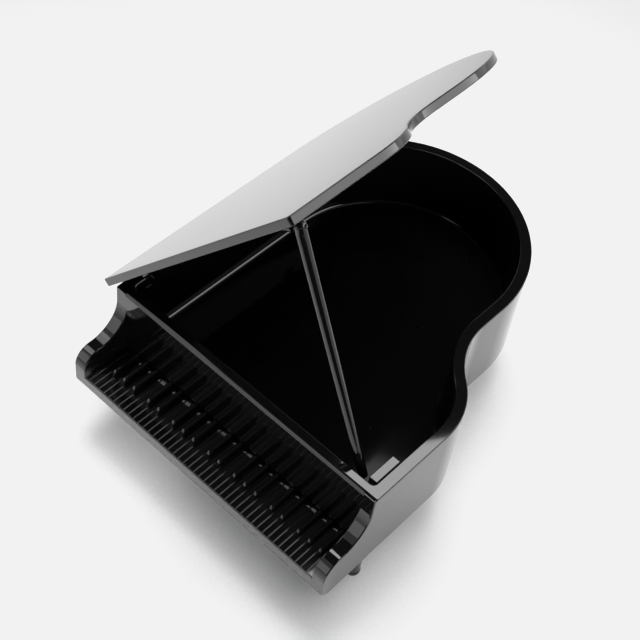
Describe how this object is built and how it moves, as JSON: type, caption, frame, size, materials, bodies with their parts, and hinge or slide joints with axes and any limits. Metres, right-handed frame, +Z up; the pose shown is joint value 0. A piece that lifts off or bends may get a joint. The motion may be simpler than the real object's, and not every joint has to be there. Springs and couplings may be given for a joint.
{
  "type": "miniature grand piano",
  "caption": "Piano-shaped black plastic box on three short legs, with a moulded keyboard, a lid hinged along the straight side and a stick that props it open.",
  "frame": {"origin": "on the floor, under the centre of the whole object's box with the lid propped open", "axes": "+X to the treble side, +Y to the tail, +Z up"},
  "size_m": [0.104, 0.1356, 0.1273],
  "materials": {
    "black_case": "polished black moulding",
    "black_lid": "polished black moulding with light rub marks",
    "black_keys": "polished black moulding",
    "steel_pin": "drawn wire"
  },
  "bodies": {
    "case": {"case": "black_case", "keyboard": "black_keys", "prop_rest": "black_case", "leg_bass": "black_case", "leg_treble": "black_case", "leg_tail": "black_case", "hinge_pin_front": "steel_pin", "hinge_pin_rear": "steel_pin"},
    "lid": {"lid": "black_lid", "prop_pin": "black_case"},
    "prop": {"prop_stick": "black_case"}
  },
  "joints": [
    {"name": "lid_hinge", "type": "hinge", "parent": "case", "child": "lid", "pos_m": [-0.04726, 0, 0.0474], "axis": [0, 1, 0], "range_deg": [0, 50.1]},
    {"name": "prop_fold", "type": "hinge", "parent": "lid", "child": "prop", "pos_m": [0.01004, -0.04433, 0.11641], "axis": [0.882, 0.2578, 0.3945], "range_deg": [0, 81.8]}
  ],
  "couplings": [
    {"joint": "prop_fold", "follows": "lid_hinge", "ratio": 1.6313}
  ]
}
